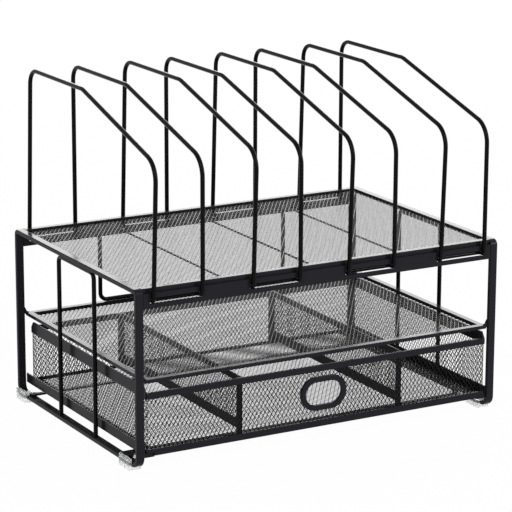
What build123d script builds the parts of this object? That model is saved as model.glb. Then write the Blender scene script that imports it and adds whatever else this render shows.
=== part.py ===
# Desk file organizer of powder-coated steel: two flat-bar side frames carry a mesh shelf with
# wire file dividers, a second mesh shelf below it, and a mesh drawer that slides on two runners.
# Frame: X across the front, Y from front to back, Z up, origin on the desk at the middle.
import os
from math import hypot

from build123d import *

os.makedirs("parts", exist_ok=True)

# Side frames: closed rings of flat bar
frame_width = 330.0
frame_depth = 222.0
frame_height = 145.4
bar_width = 6.6
bar_thickness = 3.6
top_bend = 4.8
bottom_bend = 9.0
edge_round = 0.7

# Clear clip feet under the corners of the side frames
foot_base = 3.0
foot_wall = 2.1
foot_rise = 2.6
foot_length = 19.0
front_foot_setback = 9.3
rear_foot_setback = 0.8
foot_round = 1.5

# Wires: side hoops, file dividers, paper stop and shelf stays
wire_diameter = 3.6
stay_diameter = 1.6
weld_gap = 0.1

# Side hoops
hoop_span = 64.0
hoop_bend = 5.0

# Top shelf: at front and back a rim bar with a slotted crossbar on its outer face, mesh between
rim_depth = 6.0
rim_height = 4.0
crossbar_thickness = 2.0
crossbar_height = 11.9
crossbar_drop = 3.6
crossbar_setback = 0.5
crossbar_end_gap = 0.2
slot_height = 4.3
slot_lower_bar = 3.5
slot_end_room = 0.5
mesh_thickness = 0.9
mesh_drop = 1.2
stay_inset = 77.9

# File dividers: each is one wire bent into two arches
divider_count = 4
divider_margin = 7.8
arch_spacing = 42.0
arch_top = 277.1
arch_shoulder = 240.9
arch_break = 14.5
arch_lean = 3.5
arch_rear_bend = 12.0
arch_break_bend = 20.0
arch_shoulder_bend = 19.0
foot_bend = 2.4
slot_clearance = 0.3
butt_gap = 0.5

# Middle shelf: a flat rim on four ears that reach the posts
shelf_top = 73.4
shelf_rim_width = 4.8
shelf_rim_height = 3.0
shelf_side_gap = 1.7
shelf_end_gap = 2.0
shelf_corner = 3.0
shelf_mesh_drop = 2.0
ear_length = 1.8
ear_rise = 4.5
ear_root = 2.4

# Rear paper stop: a U of wire from the rear crossbar down to the middle shelf
stop_inset = 69.4
stop_bend = 6.0

# Drawer runners on legs, which stand on two straps across the bottom rails, set in from the frames' ends
strap_thickness = 1.6
strap_width = 3.8
strap_end_inset = 2.0
front_strap_offset = 30.6
front_gusset = 8.5
rear_strap_offset = 23.0
rear_gusset = 2.0
runner_leg = 5.0
leg_width = 3.0
runner_sheet = 1.2
runner_flange = 12.6
runner_height = 8.0
runner_side_gap = 0.2
runner_front_setback = 2.2
runner_rear_setback = 4.0
lip_width = 9.2
lip_drop = 2.3

# Drawer
drawer_side_clearance = 0.6
drawer_lift = 0.3
drawer_front_setback = 0.6
drawer_rear_setback = 9.0
drawer_front_height = 48.4
drawer_side_height = 52.7
front_drop = 2.6
front_drop_inset = 7.0
drawer_sheet = 1.2
drawer_mesh = 0.8
top_band = 5.2
bottom_band = 2.9
band_corner = 2.4
band_slope = 3.0
floor_lift = 0.8
side_bay = 81.7
divider_shift = 1.5
divider_sheet = 1.2
divider_top_band = 5.0
divider_bottom_band = 7.6
divider_foot_rise = 3.2
divider_end_band = 3.0
divider_flange = 4.8
ring_width = 42.0
ring_height = 28.0
ring_land = 4.6
ring_depth = 3.0
ring_proud = 1.0
ring_offset = 2.0
ring_level = 24.6
ring_fit = 0.15

# Coarse diamond net that stands for the fine expanded mesh
net_long = 26.0
net_short = 21.0
net_strand = 1.6
net_hem = 2.0

# Places worked out from the sizes above
wire_radius = wire_diameter / 2
half_width = frame_width / 2
half_depth = frame_depth / 2
post_inner = half_width - bar_width
bar_middle = half_width - bar_width / 2
rail_bottom = foot_base
rail_top = foot_base + bar_thickness
rim_bottom = frame_height - rim_height
arch_span = 2 * (post_inner - divider_margin) - arch_spacing
divider_pitch = arch_span / (divider_count - 1)
stay_pitch = post_inner - stay_inset
stop_span = 2 * (post_inner - stop_inset)
crossbar_outer = half_depth - crossbar_setback
crossbar_inner = crossbar_outer - crossbar_thickness
crossbar_bottom = frame_height - crossbar_drop - crossbar_height
rim_front = crossbar_inner - weld_gap
rim_inner = rim_front - rim_depth
slot_bottom = crossbar_bottom + slot_lower_bar
top_mesh_level = frame_height - mesh_drop - mesh_thickness
arch_foot = slot_bottom + slot_clearance + wire_radius
arch_leg = crossbar_outer + slot_clearance + wire_radius
arch_hook = crossbar_inner - slot_clearance - wire_radius
shelf_bottom = shelf_top - shelf_rim_height
shelf_half_width = post_inner - shelf_side_gap
shelf_half_depth = half_depth - shelf_end_gap
strap_top = rail_top + strap_thickness
runner_bottom = strap_top + runner_leg
runner_outer = post_inner - runner_side_gap
runner_top = runner_bottom + runner_sheet
drawer_half = runner_outer - runner_sheet - drawer_side_clearance
drawer_bottom = runner_top + drawer_lift
drawer_front = -half_depth + drawer_front_setback
drawer_rear = half_depth - drawer_rear_setback
drawer_top = drawer_bottom + drawer_front_height
drawer_side_top = drawer_bottom + drawer_side_height
wall_half = drawer_half - drawer_sheet
wall_front = drawer_front + drawer_sheet
wall_rear = drawer_rear - drawer_sheet
floor_level = drawer_bottom + floor_lift
divider_offset = wall_half - side_bay
divider_bottom = floor_level + drawer_mesh
divider_front = wall_front + drawer_mesh
divider_rear = wall_rear - drawer_mesh


def save(builder, name):
    builder.part.label = name
    export_step(builder.part, f"parts/{name}.step")


def sweep_wire(points, radii, radius):
    # a round wire along straight runs joined by tangent arcs
    with BuildPart() as wire:
        with BuildLine() as route:
            FilletPolyline(*points, radius=radii)
        with BuildSketch(Plane(origin=route.line @ 0, z_dir=route.line % 0)):
            Circle(radius)
        sweep(path=route.line)
    return wire


def net_face(width, height):
    # one face with staggered diamond gaps, which are cut short at a plain hem
    inner_x = width / 2 - net_hem
    inner_y = height / 2 - net_hem
    columns = round(2 * inner_x / net_long)
    rows = round(2 * inner_y / net_short)
    half_long = inner_x / columns
    half_short = inner_y / rows
    line_distance = half_long * half_short / hypot(half_long, half_short)
    shrink = 1 - net_strand / 2 / line_distance
    gap_x = shrink * half_long
    gap_y = shrink * half_short
    gaps = []
    for i in range(2 * columns + 1):
        for j in range(i % 2, 2 * rows + 1, 2):
            x = i * half_long - inner_x
            y = j * half_short - inner_y
            corners = []
            if i < 2 * columns:
                corners.append((x + gap_x, y))
            if j < 2 * rows:
                corners.append((x, y + gap_y))
            if i > 0:
                corners.append((x - gap_x, y))
            if j > 0:
                corners.append((x, y - gap_y))
            if len(corners) == 2:
                corners.append((x, y))
            gaps.append(Wire.make_polygon([Vector(*corner) for corner in corners]))
    edge_x = width / 2
    edge_y = height / 2
    outline = [(edge_x, edge_y), (-edge_x, edge_y), (-edge_x, -edge_y), (edge_x, -edge_y)]
    return Face(Wire.make_polygon([Vector(*corner) for corner in outline]), gaps)


def net_panel(plane, width, height, thickness):
    # a flat net centred on its plane, thickened along the plane's normal
    with BuildPart() as panel:
        with BuildSketch(plane):
            add(net_face(width, height))
        extrude(amount=thickness)
    return panel


# Side frames
for side, label in ((-1, "left"), (1, "right")):
    with BuildPart() as side_frame:
        with BuildSketch(Plane.YZ.offset(side * bar_middle)):
            for inset in (0, bar_thickness):
                low = rail_bottom + inset
                high = frame_height - inset
                reach = half_depth - inset
                with BuildLine():
                    FilletPolyline(
                        (-reach, low),
                        (reach, low),
                        (reach, high),
                        (-reach, high),
                        close=True,
                        radius=[
                            bottom_bend - inset,
                            bottom_bend - inset,
                            top_bend - inset,
                            top_bend - inset,
                        ],
                    )
                make_face(mode=Mode.SUBTRACT if inset else Mode.ADD)
        extrude(amount=bar_width / 2, both=True)
        faces = side_frame.faces().filter_by(Axis.X)
        fillet(faces.edges(), edge_round)
    save(side_frame, f"{label}_side_frame")

# Side hoops: inverted U wires that stand on the bottom rail under the top rail
hoop_top = frame_height - bar_thickness - weld_gap - wire_radius
for side, label in ((-1, "left"), (1, "right")):
    hoop_points = [
        (side * bar_middle, -hoop_span / 2, rail_top),
        (side * bar_middle, -hoop_span / 2, hoop_top),
        (side * bar_middle, hoop_span / 2, hoop_top),
        (side * bar_middle, hoop_span / 2, rail_top),
    ]
    save(sweep_wire(hoop_points, hoop_bend, wire_radius), f"{label}_side_hoop")

# Feet: U clips of clear plastic round the bottom rail, with the outer wall standing higher
inner_wall_top = rail_top - weld_gap
foot_places = ((-1, "front", front_foot_setback), (1, "rear", rear_foot_setback))
for end, end_label, setback in foot_places:
    foot_middle = end * (half_depth - setback - foot_length / 2)
    for side, side_label in ((-1, "left"), (1, "right")):
        with BuildPart() as foot:
            with BuildSketch(Plane.XY):
                with Locations((side * bar_middle, foot_middle)):
                    RectangleRounded(bar_width + 2 * foot_wall, foot_length, foot_round)
            extrude(amount=rail_top + foot_rise)
            with BuildSketch(Plane.XY.offset(rail_bottom)):
                with Locations((side * bar_middle, foot_middle)):
                    Rectangle(bar_width, foot_length)
            extrude(amount=bar_thickness + foot_rise, mode=Mode.SUBTRACT)
            with BuildSketch(Plane.XY.offset(inner_wall_top)):
                with Locations((side * (post_inner - foot_wall / 2), foot_middle)):
                    Rectangle(foot_wall, foot_length)
            extrude(amount=weld_gap + foot_rise, mode=Mode.SUBTRACT)
        save(foot, f"{end_label}_{side_label}_foot")

# Top shelf: rim bars and slotted crossbars
divider_centres = [(i - (divider_count - 1) / 2) * divider_pitch for i in range(divider_count)]
slot_length = arch_spacing + wire_diameter + 2 * slot_end_room
for end, label in ((-1, "front"), (1, "rear")):
    with BuildPart() as rim_bar:
        with BuildSketch(Plane.YZ.offset(-post_inner)):
            with Locations((end * (rim_front - rim_depth / 2), rim_bottom + rim_height / 2)):
                RectangleRounded(rim_depth, rim_height, edge_round)
        extrude(amount=2 * post_inner)
    save(rim_bar, f"{label}_rim_bar")
    with BuildPart() as crossbar:
        with BuildSketch(Plane.XZ.offset(-end * (crossbar_inner + crossbar_thickness / 2))):
            with Locations((0, crossbar_bottom + crossbar_height / 2)):
                Rectangle(2 * (post_inner - crossbar_end_gap), crossbar_height)
            with Locations(*[(x, slot_bottom + slot_height / 2) for x in divider_centres]):
                RectangleRounded(slot_length, slot_height, wire_radius, mode=Mode.SUBTRACT)
        extrude(amount=crossbar_thickness / 2, both=True)
    save(crossbar, f"{label}_crossbar")

# Top shelf mesh and the three stays under it
save(
    net_panel(Plane.XY.offset(top_mesh_level), 2 * post_inner, 2 * rim_inner, mesh_thickness),
    "top_shelf_mesh",
)
stay_level = rim_bottom - weld_gap - stay_diameter / 2
for index, label in ((-1, "left"), (0, "middle"), (1, "right")):
    with BuildPart() as stay:
        with BuildSketch(Plane.XZ.offset(-crossbar_inner)):
            with Locations((index * stay_pitch, stay_level)):
                Circle(stay_diameter / 2)
        extrude(amount=2 * crossbar_inner)
    save(stay, f"{label}_shelf_stay")

# File dividers: one wire each, two arches joined by a run behind each crossbar
for number, centre in enumerate(divider_centres, start=1):
    left_x = centre - arch_spacing / 2
    right_x = centre + arch_spacing / 2
    shoulder_lean = arch_lean * (arch_shoulder - arch_foot) / (arch_top - arch_foot)
    divider_points = [
        (centre + butt_gap / 2, arch_hook, arch_foot),
        (right_x, arch_hook, arch_foot),
        (right_x, arch_leg, arch_foot),
        (right_x, arch_leg, arch_top),
        (right_x, arch_break, arch_top),
        (right_x, -arch_leg, arch_shoulder),
        (right_x, -arch_leg, arch_foot),
        (right_x, -arch_hook, arch_foot),
        (left_x, -arch_hook, arch_foot),
        (left_x, -arch_leg, arch_foot),
        (left_x + shoulder_lean, -arch_leg, arch_shoulder),
        (left_x + arch_lean, arch_break, arch_top),
        (left_x + arch_lean, arch_leg, arch_top),
        (left_x, arch_leg, arch_foot),
        (left_x, arch_hook, arch_foot),
        (centre - butt_gap / 2, arch_hook, arch_foot),
    ]
    half_radii = [
        foot_bend,
        foot_bend,
        arch_rear_bend,
        arch_break_bend,
        arch_shoulder_bend,
        foot_bend,
        foot_bend,
    ]
    file_divider = sweep_wire(divider_points, half_radii + half_radii[::-1], wire_radius)
    save(file_divider, f"file_divider_{number}")

# Middle shelf: rim with ears that rise to the inner faces of the posts, and its mesh
with BuildPart() as shelf_frame:
    with BuildSketch(Plane.XY.offset(shelf_bottom)):
        RectangleRounded(2 * shelf_half_width, 2 * shelf_half_depth, shelf_corner)
        Rectangle(
            2 * (shelf_half_width - shelf_rim_width),
            2 * (shelf_half_depth - shelf_rim_width),
            mode=Mode.SUBTRACT,
        )
    extrude(amount=shelf_rim_height)
    for side in (-1, 1):
        for end in (-1, 1):
            with BuildSketch(Plane.XZ.offset(-end * (shelf_half_depth - ear_length))):
                with BuildLine():
                    Polyline(
                        (side * (shelf_half_width - ear_root), shelf_bottom),
                        (side * shelf_half_width, shelf_bottom),
                        (side * post_inner, shelf_bottom + ear_rise / 2),
                        (side * post_inner, shelf_top + ear_rise),
                        (side * shelf_half_width, shelf_top + ear_rise / 4),
                        (side * (shelf_half_width - ear_root), shelf_top),
                        close=True,
                    )
                make_face()
            extrude(amount=-end * ear_length)
save(shelf_frame, "middle_shelf_frame")
save(
    net_panel(
        Plane.XY.offset(shelf_top - shelf_mesh_drop - mesh_thickness),
        2 * (shelf_half_width - shelf_rim_width),
        2 * (shelf_half_depth - shelf_rim_width),
        mesh_thickness,
    ),
    "middle_shelf_mesh",
)

# Rear paper stop
stop_y = crossbar_inner - weld_gap - wire_radius
stop_low = shelf_top + weld_gap + wire_radius
stop_points = [
    (-stop_span / 2, stop_y, rim_bottom - weld_gap),
    (-stop_span / 2, stop_y, stop_low),
    (stop_span / 2, stop_y, stop_low),
    (stop_span / 2, stop_y, rim_bottom - weld_gap),
]
save(sweep_wire(stop_points, stop_bend, wire_radius), "rear_paper_stop")

# Cross straps on the bottom rails, with gussets at their ends, and the runners that stand on them
strap_end = half_width - strap_end_inset
straps = (
    (-1, "front", front_strap_offset, front_gusset),
    (1, "rear", rear_strap_offset, rear_gusset),
)
for end, label, offset, gusset in straps:
    strap_middle = half_depth - offset
    edge_inner = end * (strap_middle - strap_width / 2)
    edge_outer = end * (strap_middle + strap_width / 2)
    edge_gusset = edge_outer + end * gusset
    with BuildPart() as strap:
        with BuildSketch(Plane.XY.offset(rail_top)):
            with BuildLine():
                Polyline(
                    (-strap_end, edge_inner),
                    (strap_end, edge_inner),
                    (strap_end, edge_gusset),
                    (post_inner, edge_gusset),
                    (post_inner - gusset, edge_outer),
                    (gusset - post_inner, edge_outer),
                    (-post_inner, edge_gusset),
                    (-strap_end, edge_gusset),
                    close=True,
                )
            make_face()
        extrude(amount=strap_thickness)
    save(strap, f"{label}_cross_strap")
runner_front = -half_depth + runner_front_setback
runner_rear = half_depth - runner_rear_setback
for side, label in ((-1, "left"), (1, "right")):
    with BuildPart() as runner:
        with BuildSketch(Plane.XZ.offset(-runner_front)):
            with BuildLine():
                Polyline(
                    (side * runner_outer, runner_bottom),
                    (side * (runner_outer - runner_flange), runner_bottom),
                    (side * (runner_outer - runner_flange), runner_top),
                    (side * (runner_outer - runner_sheet), runner_top),
                    (side * (runner_outer - runner_sheet), runner_bottom + runner_height),
                    (side * runner_outer, runner_bottom + runner_height),
                    close=True,
                )
            make_face()
        extrude(amount=runner_front - runner_rear)
        with BuildSketch(Plane.XZ.offset(-runner_front)):
            with Locations((side * (runner_outer - lip_width / 2), runner_bottom - lip_drop / 2)):
                Rectangle(lip_width, lip_drop)
        extrude(amount=-runner_sheet)
        leg_x = side * (runner_outer - runner_flange + leg_width / 2)
        with BuildSketch(Plane.XY.offset(strap_top)):
            with Locations((leg_x, front_strap_offset - half_depth), (leg_x, half_depth - rear_strap_offset)):
                Rectangle(leg_width, strap_width)
        extrude(amount=runner_leg)
    save(runner, f"{label}_runner")

# Drawer rims: a top band that is taller along the sides, and a bottom band that hangs lower in front
drawer_middle = (drawer_front + drawer_rear) / 2
drawer_length = drawer_rear - drawer_front
with BuildPart() as top_rim:
    with BuildSketch(Plane.XY.offset(drawer_top - top_band)):
        with Locations((0, drawer_middle)):
            Rectangle(2 * drawer_half, drawer_length)
            Rectangle(2 * wall_half, drawer_length - 2 * drawer_sheet, mode=Mode.SUBTRACT)
    extrude(amount=top_band)
    corner_edges = top_rim.edges().filter_by(Axis.Z)
    fillet(corner_edges.filter_by(lambda edge: abs(edge.center().X) > wall_half), band_corner)
    for side in (-1, 1):
        with BuildSketch(Plane.YZ.offset(side * (drawer_half - drawer_sheet / 2))):
            with BuildLine():
                Polyline(
                    (drawer_front + band_corner, drawer_top),
                    (drawer_rear - band_corner, drawer_top),
                    (drawer_rear - band_corner - band_slope, drawer_side_top),
                    (drawer_front + band_corner + band_slope, drawer_side_top),
                    close=True,
                )
            make_face()
        extrude(amount=drawer_sheet / 2, both=True)
save(top_rim, "drawer_top_rim")
with BuildPart() as bottom_rim:
    with BuildSketch(Plane.XY.offset(drawer_bottom)):
        with Locations((0, drawer_middle)):
            Rectangle(2 * drawer_half, drawer_length)
            Rectangle(2 * wall_half, drawer_length - 2 * drawer_sheet, mode=Mode.SUBTRACT)
    extrude(amount=bottom_band)
    corner_edges = bottom_rim.edges().filter_by(Axis.Z)
    fillet(corner_edges.filter_by(lambda edge: abs(edge.center().X) > wall_half), band_corner)
    with BuildSketch(Plane.XY.offset(drawer_bottom)):
        with Locations((0, drawer_front + drawer_sheet / 2)):
            Rectangle(2 * (drawer_half - front_drop_inset), drawer_sheet)
    extrude(amount=-front_drop)
save(bottom_rim, "drawer_bottom_rim")

# Drawer walls and floor
wall_height = drawer_front_height - floor_lift
wall_level = floor_level + wall_height / 2
ring_centre = drawer_bottom + ring_level
front_plane = Plane((0, wall_front, wall_level), x_dir=(1, 0, 0), z_dir=(0, -1, 0))
with BuildPart() as front_mesh:
    with BuildSketch(front_plane):
        add(net_face(2 * wall_half, wall_height))
        with Locations((ring_offset, ring_centre - wall_level)):
            SlotOverall(ring_width + 2 * net_hem, ring_height + 2 * net_hem)
            SlotOverall(ring_width + 2 * ring_fit, ring_height + 2 * ring_fit, mode=Mode.SUBTRACT)
    extrude(amount=-drawer_mesh)
save(front_mesh, "drawer_front_mesh")
rear_plane = Plane((0, wall_rear, wall_level), x_dir=(1, 0, 0), z_dir=(0, -1, 0))
save(net_panel(rear_plane, 2 * wall_half, wall_height, drawer_mesh), "drawer_rear_mesh")
for side, label in ((-1, "left"), (1, "right")):
    wall_inner = side * (wall_half - drawer_mesh)
    wall_plane = Plane((wall_inner, drawer_middle, wall_level), x_dir=(0, 1, 0), z_dir=(1, 0, 0))
    wall_length = divider_rear - divider_front
    save(
        net_panel(wall_plane, wall_length, wall_height, side * drawer_mesh),
        f"drawer_{label}_mesh",
    )
floor_plane = Plane((0, drawer_middle, floor_level), x_dir=(1, 0, 0), z_dir=(0, 0, 1))
floor_width = 2 * (wall_half - drawer_mesh)
save(
    net_panel(floor_plane, floor_width, divider_rear - divider_front, drawer_mesh),
    "drawer_floor_mesh",
)

# Finger ring in the drawer front
with BuildPart() as finger_ring:
    with BuildSketch(Plane.XZ.offset(-(drawer_front - ring_proud + drawer_sheet))):
        with Locations((ring_offset, ring_centre)):
            SlotOverall(ring_width, ring_height)
            SlotOverall(
                ring_width - 2 * ring_land, ring_height - 2 * ring_land, mode=Mode.SUBTRACT
            )
    extrude(amount=-ring_depth)
    fillet(finger_ring.faces().filter_by(Axis.Y).edges(), edge_round)
save(finger_ring, "drawer_finger_ring")

# Drawer dividers: a sheet frame on end legs, flanges bent to its left, and mesh in its window
divider_length = divider_rear - divider_front
divider_height = drawer_top - divider_bottom
window_bottom = divider_bottom + divider_foot_rise + divider_bottom_band
window_height = drawer_top - divider_top_band - window_bottom
window_level = window_bottom + window_height / 2
window_length = divider_length - 2 * divider_end_band
for side, label in ((-1, "left"), (1, "right")):
    divider_x = side * divider_offset + divider_shift
    flange_x = divider_x + (divider_sheet - divider_flange) / 2
    with BuildPart() as divider_frame:
        with BuildSketch(Plane.YZ.offset(divider_x)):
            with Locations((drawer_middle, divider_bottom + divider_height / 2)):
                Rectangle(divider_length, divider_height)
            with Locations((drawer_middle, window_level)):
                Rectangle(window_length, window_height, mode=Mode.SUBTRACT)
            with Locations((drawer_middle, divider_bottom + divider_foot_rise / 2)):
                Rectangle(window_length, divider_foot_rise, mode=Mode.SUBTRACT)
        extrude(amount=divider_sheet / 2, both=True)
        for flange_front in (divider_front, divider_rear - divider_sheet):
            with BuildSketch(Plane.XZ.offset(-flange_front)):
                with Locations((flange_x, divider_bottom + divider_height / 2)):
                    Rectangle(divider_flange, divider_height)
            extrude(amount=-divider_sheet)
    save(divider_frame, f"{label}_divider_frame")
    window_centre = (divider_x - drawer_mesh / 2, drawer_middle, window_level)
    window_plane = Plane(window_centre, x_dir=(0, 1, 0), z_dir=(1, 0, 0))
    save(
        net_panel(window_plane, window_length, window_height, drawer_mesh),
        f"{label}_divider_mesh",
    )
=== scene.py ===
from math import cos, pi, radians, sin, sqrt

import bmesh
import bpy
from mathutils import Matrix, Vector


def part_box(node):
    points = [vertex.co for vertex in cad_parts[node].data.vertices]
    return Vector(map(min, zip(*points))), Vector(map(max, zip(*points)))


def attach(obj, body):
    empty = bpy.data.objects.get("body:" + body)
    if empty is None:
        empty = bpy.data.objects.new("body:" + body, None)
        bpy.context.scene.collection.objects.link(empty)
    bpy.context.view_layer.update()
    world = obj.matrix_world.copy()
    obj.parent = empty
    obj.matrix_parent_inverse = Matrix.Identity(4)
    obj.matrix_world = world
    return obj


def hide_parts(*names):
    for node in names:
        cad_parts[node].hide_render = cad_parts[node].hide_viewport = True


mm = 0.001

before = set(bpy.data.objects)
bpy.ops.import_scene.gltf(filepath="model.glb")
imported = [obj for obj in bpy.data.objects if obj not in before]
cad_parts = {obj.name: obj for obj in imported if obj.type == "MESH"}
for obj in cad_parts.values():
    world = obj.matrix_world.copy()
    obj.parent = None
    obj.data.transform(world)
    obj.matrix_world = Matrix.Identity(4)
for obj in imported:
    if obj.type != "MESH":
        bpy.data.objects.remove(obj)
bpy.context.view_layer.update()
print("frame loaded:", len(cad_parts), "nodes")


def linear(code):  # sRGB hex to linear RGBA
    channels = [int(code[i:i + 2], 16) / 255 for i in (1, 3, 5)]
    return [c / 12.92 if c <= 0.04045 else ((c + 0.055) / 1.055) ** 2.4 for c in channels] + [1.0]


def addNode(tree, kind, inputs=None, **settings):  # a socket is linked, any other value is set
    node = tree.nodes.new(kind)
    for name, value in settings.items():
        setattr(node, name, value)
    for name, value in (inputs or {}).items():
        if isinstance(value, bpy.types.NodeSocket):
            tree.links.new(value, node.inputs[name])
        else:
            node.inputs[name].default_value = value
    return node


def newMaterial(name):
    material = bpy.data.materials.new(name)
    material.use_nodes = True
    material.node_tree.nodes.clear()
    return material, material.node_tree


# black polyester powder coat, baked on flat bar and sheet: a blue black with a soft gloss and the
# faint orange peel of a coat that flowed in the oven, so faces seen along their length turn pale
barCoat = {
    "colour": "#222227",
    "roughness": 0.22,
    "ior": 1.5,
    "specular": 0.06,
    "peelSize": 1.6,  # mm, drawn coarser than the real half millimetre so that it shows
    "peelHeight": 0.012,  # mm
    "peelDetail": 2.0,
}

# the same black coat on round wire with a tighter gloss, its colour painted darker than the bar's
# as painted shade so the wires read blacker
wireCoatPaintedShade = {
    "colour": "#060606",
    "roughness": 0.16,
    "ior": 1.5,
    "specular": 0.08,
    "peelSize": 1.6,
    "peelHeight": 0.004,
    "peelDetail": 2.0,
}


def makePowderCoat(name, coat):
    material, tree = newMaterial(name)
    place = addNode(tree, "ShaderNodeTexCoord")
    peel = addNode(tree, "ShaderNodeTexNoise", {
        "Vector": place.outputs["Object"],
        "Scale": 1 / (coat["peelSize"] * mm),
        "Detail": coat["peelDetail"],
    })
    bump = addNode(tree, "ShaderNodeBump", {
        "Height": peel.outputs["Fac"],
        "Strength": 1.0,
        "Distance": coat["peelHeight"] * mm,
    })
    shader = addNode(tree, "ShaderNodeBsdfPrincipled", {
        "Base Color": linear(coat["colour"]),
        "Roughness": coat["roughness"],
        "IOR": coat["ior"],
        "Specular IOR Level": coat["specular"],
        "Normal": bump.outputs["Normal"],
    })
    addNode(tree, "ShaderNodeOutputMaterial", {"Surface": shader.outputs["BSDF"]})
    return material


# the same coat on expanded mesh: it pools on the thin strands, so it has no peel of its own
meshCoat = {"colour": "#080808", "roughness": 0.36, "ior": 1.5, "specular": 0.1}


def makeMeshCoat(name, coat):
    material, tree = newMaterial(name)
    shader = addNode(tree, "ShaderNodeBsdfPrincipled", {
        "Base Color": linear(coat["colour"]),
        "Roughness": coat["roughness"],
        "IOR": coat["ior"],
        "Specular IOR Level": coat["specular"],
    })
    addNode(tree, "ShaderNodeOutputMaterial", {"Surface": shader.outputs["BSDF"]})
    return material


# clear moulded PVC clips: water white, and milky where the tool was not polished
clearPvc = {"colour": "#F8FAFA", "roughness": 0.4, "ior": 1.52, "clearness": 0.75}


def makeClearPvc(name, plastic):
    material, tree = newMaterial(name)
    shader = addNode(tree, "ShaderNodeBsdfPrincipled", {
        "Base Color": linear(plastic["colour"]),
        "Roughness": plastic["roughness"],
        "IOR": plastic["ior"],
        "Transmission Weight": plastic["clearness"],
    })
    addNode(tree, "ShaderNodeOutputMaterial", {"Surface": shader.outputs["BSDF"]})
    return material


blackBar = makePowderCoat("black_coated_bar", barCoat)
blackWirePaintedShade = makePowderCoat("black_coated_wire_painted_shade", wireCoatPaintedShade)
blackMesh = makeMeshCoat("black_coated_mesh", meshCoat)
clearPlastic = makeClearPvc("clear_moulded_pvc", clearPvc)
# wire parts take the coat whose darker colour is painted shade
wireNames = ("file_divider", "side_hoop", "shelf_stay", "paper_stop")
for name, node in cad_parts.items():
    coat = blackBar
    if name.endswith("_foot"):
        coat = clearPlastic
    elif any(wire in name for wire in wireNames):
        coat = blackWirePaintedShade
    node.data.materials.clear()
    node.data.materials.append(coat)
print("materials made")

# the finger ring clamps the front mesh, which is cut away along the middle of the ring's land
fingerHole = {"land": 4.6}  # mm


def clearHole(bm, hole, centreX, centreZ):
    low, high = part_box("drawer_finger_ring")
    radius = (high.z - low.z) / 2
    straight = (high.x - low.x) / 2 - radius
    cut = radius - hole["land"] * mm / 2
    middle = Vector(((low.x + high.x) / 2 - centreX, (low.z + high.z) / 2 - centreZ, 0.0))

    def fromSpine(point):
        offset = point - middle
        offset.x -= max(-straight, min(straight, offset.x))
        return offset

    inside = [f for f in bm.faces if fromSpine(f.calc_center_median()).length < cut]
    bmesh.ops.delete(bm, geom=inside, context="FACES")
    for v in bm.verts:
        offset = fromSpine(v.co)
        if offset.length < cut:
            v.co += offset.normalized() * (cut - offset.length)


# expanded steel mesh: one sheet slit and stretched, so its strands lean like louvres
expandedMesh = {
    "openingWidth": 3.78,  # mm between openings along the slit rows
    "openingHeight": 5.55,  # mm over two staggered rows
    "strand": 0.45,  # mm, face of one strand
    "sheet": 0.3,  # mm
    "lean": 0.03,  # mm, how far the two sides of an opening part from the sheet
    "trimMerge": 0.01,  # mm, corners closer than this to the panel's edge are trimmed onto it
}


def meshPanel(name, node, body, across, up, weave, hole=None):
    # across and up are the frame's axes that the rows and the columns of openings follow
    low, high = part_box(node)
    through = 3 - across - up
    width = (high - low)[across]
    height = (high - low)[up]
    columns = round(width / (weave["openingWidth"] * mm))
    rows = round(height / (weave["openingHeight"] * mm))
    bm = bmesh.new()
    # a square grid on its corner, then stretched so that each square is one opening's diamond
    side = columns + rows
    bmesh.ops.create_grid(bm, x_segments=side, y_segments=side, size=side / sqrt(2) / 2)
    bmesh.ops.rotate(bm, matrix=Matrix.Rotation(pi / 4, 3, "Z"), verts=bm.verts[:])
    if (columns + rows) % 2:  # keep whole diamonds on the middle of the panel
        bmesh.ops.translate(bm, vec=(0.5, 0.0, 0.0), verts=bm.verts[:])
    bmesh.ops.scale(bm, vec=(width / columns, height / rows, 1.0), verts=bm.verts[:])
    for edge, axis in ((width, Vector((1, 0, 0))), (height, Vector((0, 1, 0)))):
        for sign in (-1, 1):
            bmesh.ops.bisect_plane(
                bm,
                geom=bm.verts[:] + bm.edges[:] + bm.faces[:],
                dist=weave["trimMerge"] * mm,
                plane_co=axis * sign * edge / 2,
                plane_no=axis * sign,
                clear_outer=True,
            )
    centre = (low + high) / 2
    if hole:
        clearHole(bm, hole, centre[across], centre[up])
    openings = bm.faces[:]
    bmesh.ops.inset_individual(
        bm, faces=openings, thickness=weave["strand"] * mm / 2, use_even_offset=True
    )
    for opening in openings:
        middle = opening.calc_center_median()
        reach = max(abs(v.co.x - middle.x) for v in opening.verts)
        for v in opening.verts:
            v.co.z -= weave["lean"] * mm * (v.co.x - middle.x) / reach
    bmesh.ops.delete(bm, geom=openings, context="FACES")
    bmesh.ops.solidify(bm, geom=bm.faces[:], thickness=weave["sheet"] * mm)
    level = -sum(v.co.z for v in bm.verts) / len(bm.verts)
    bmesh.ops.translate(bm, vec=(0.0, 0.0, level), verts=bm.verts[:])
    turn = Matrix.Identity(4)
    for column, axis in enumerate((across, up, through)):
        for row in range(3):
            turn[row][column] = 1.0 if row == axis else 0.0
        turn[column][3] = centre[column]
    bmesh.ops.transform(bm, matrix=turn, verts=bm.verts[:])
    bmesh.ops.recalc_face_normals(bm, faces=bm.faces[:])
    mesh = bpy.data.meshes.new(name)
    bm.to_mesh(mesh)
    bm.free()
    panel = bpy.data.objects.new(name, mesh)
    bpy.context.scene.collection.objects.link(panel)
    mesh.materials.append(blackMesh)
    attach(panel, body)
    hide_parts(node)
    print(name, columns, "by", rows, "openings,", len(mesh.polygons), "faces")


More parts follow.
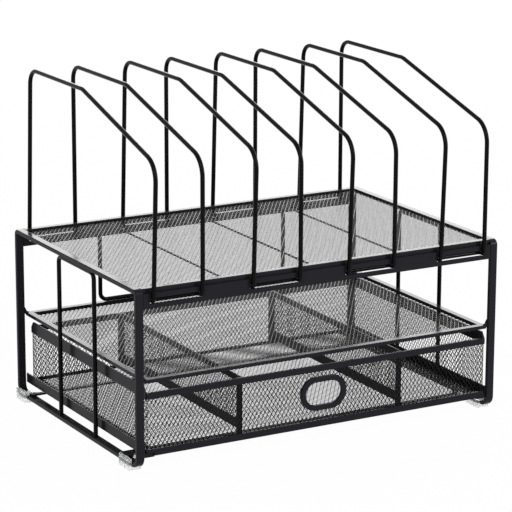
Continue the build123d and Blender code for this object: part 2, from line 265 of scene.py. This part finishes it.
# axes: 0 is X, 1 is Y, 2 is Z
meshPanel("topShelfMesh", "top_shelf_mesh", "organizer", 0, 1, expandedMesh)
meshPanel("middleShelfMesh", "middle_shelf_mesh", "organizer", 0, 1, expandedMesh)
meshPanel("drawerFrontMesh", "drawer_front_mesh", "drawer", 0, 2, expandedMesh, fingerHole)
meshPanel("drawerRearMesh", "drawer_rear_mesh", "drawer", 0, 2, expandedMesh)
meshPanel("drawerLeftMesh", "drawer_left_mesh", "drawer", 1, 2, expandedMesh)
meshPanel("drawerRightMesh", "drawer_right_mesh", "drawer", 1, 2, expandedMesh)
meshPanel("drawerFloorMesh", "drawer_floor_mesh", "drawer", 0, 1, expandedMesh)
meshPanel("leftDividerMesh", "left_divider_mesh", "drawer", 1, 2, expandedMesh)
meshPanel("rightDividerMesh", "right_divider_mesh", "drawer", 1, 2, expandedMesh)


# rays that meet plain white surroundings: from the camera, off the coat and through the clear feet
whiteRays = ("Is Camera Ray", "Is Glossy Ray", "Is Transmission Ray")


def meetsWhite(tree):  # 1 for these rays, else 0
    path = addNode(tree, "ShaderNodeLightPath")
    found = path.outputs[whiteRays[0]]
    for kind in whiteRays[1:]:
        either = addNode(tree, "ShaderNodeMath", operation="MAXIMUM")
        tree.links.new(found, either.inputs[0])
        tree.links.new(path.outputs[kind], either.inputs[1])
        found = either.outputs["Value"]
    return found


# pale floor: what the camera sees is mostly plain white, the rest takes the shadow
studioFloor = {"colour": "#F2F2F2", "size": 16.0, "glow": 0.98}  # size in metres


def makeFloor(floor):
    material, tree = newMaterial("pale_studio_floor")
    share = addNode(tree, "ShaderNodeMath", operation="MULTIPLY")
    tree.links.new(meetsWhite(tree), share.inputs[0])
    share.inputs[1].default_value = floor["glow"]
    paint = addNode(tree, "ShaderNodeBsdfDiffuse", {"Color": linear(floor["colour"])})
    glow = addNode(tree, "ShaderNodeEmission", {"Color": (1, 1, 1, 1), "Strength": 1.0})
    mix = addNode(tree, "ShaderNodeMixShader", {"Fac": share.outputs["Value"]})
    tree.links.new(paint.outputs["BSDF"], mix.inputs[1])
    tree.links.new(glow.outputs["Emission"], mix.inputs[2])
    addNode(tree, "ShaderNodeOutputMaterial", {"Surface": mix.outputs["Shader"]})
    bm = bmesh.new()
    bmesh.ops.create_grid(bm, x_segments=1, y_segments=1, size=floor["size"] / 2)
    mesh = bpy.data.meshes.new("studioFloor")
    bm.to_mesh(mesh)
    bm.free()
    mesh.materials.append(material)
    plane = bpy.data.objects.new("studioFloor", mesh)
    bpy.context.scene.collection.objects.link(plane)


makeFloor(studioFloor)

# white surroundings to the camera and in reflections, dimmer as light on matt surfaces
studioWorld = {"seen": 1.0, "light": 0.5}


def makeWorld(studio):
    world = bpy.data.worlds.new("studioWorld")
    bpy.context.scene.world = world
    world.use_nodes = True
    tree = world.node_tree
    tree.nodes.clear()
    strength = addNode(tree, "ShaderNodeMapRange", {
        "Value": meetsWhite(tree),
        "To Min": studio["light"],
        "To Max": studio["seen"],
    })
    sky = addNode(tree, "ShaderNodeBackground", {
        "Color": (1, 1, 1, 1),
        "Strength": strength.outputs["Result"],
    })
    addNode(tree, "ShaderNodeOutputWorld", {"Surface": sky.outputs["Background"]})


makeWorld(studioWorld)

# soft boxes, each aimed at the middle of the organizer, in metres and watts
softBoxAim = (0.0, 0.0, 0.12)
softBoxes = {
    "keySoftBox": {"place": (-1.9, -1.5, 1.7), "size": (0.5, 1.4), "watts": 12},
    "fillSoftBox": {"place": (1.5, -2.0, 1.3), "size": (0.4, 1.4), "watts": 30},
    "backSoftBox": {"place": (1.5, 2.7, 1.1), "size": (2.6, 1.2), "watts": 46},
}


def makeSoftBoxes(boxes, aim):
    for name, box in boxes.items():
        lamp = bpy.data.lights.new(name, "AREA")
        lamp.shape = "RECTANGLE"
        lamp.size, lamp.size_y = box["size"]
        lamp.energy = box["watts"]
        holder = bpy.data.objects.new(name, lamp)
        bpy.context.scene.collection.objects.link(holder)
        holder.location = box["place"]
        holder.rotation_mode = "QUATERNION"
        holder.rotation_quaternion = (Vector(aim) - holder.location).to_track_quat("-Z", "Y")
        holder.visible_camera = False


makeSoftBoxes(softBoxes, softBoxAim)

# the photograph's camera, found by fitting the organizer's corners
photoCamera = {
    "azimuth": -29.506,  # degrees
    "elevation": 14.591,
    "roll": 0.204,
    "distance": 2.0789,  # m
    "target": (0.0061, 0.007856, 0.12418),
    "focalPixels": 2517.0,
    "imagePixels": 512,
    "sensor": 36.0,  # mm
    "farthest": 50.0,
}


def makeCamera(shot):
    azimuth = radians(shot["azimuth"])
    elevation = radians(shot["elevation"])
    away = Vector((
        sin(azimuth) * cos(elevation),
        -cos(azimuth) * cos(elevation),
        sin(elevation),
    ))
    lens = bpy.data.cameras.new("photoCamera")
    lens.sensor_width = shot["sensor"]
    lens.lens = shot["focalPixels"] / shot["imagePixels"] * shot["sensor"]
    lens.clip_end = shot["farthest"]
    camera = bpy.data.objects.new("photoCamera", lens)
    bpy.context.scene.collection.objects.link(camera)
    camera.location = Vector(shot["target"]) + away * shot["distance"]
    aim = (-away).to_track_quat("-Z", "Y").to_matrix()
    roll = Matrix.Rotation(radians(shot["roll"]), 3, "Z")
    camera.rotation_euler = (aim @ roll).to_euler()
    bpy.context.scene.camera = camera


makeCamera(photoCamera)
bpy.context.scene.view_settings.view_transform = "Standard"
print("stage set")
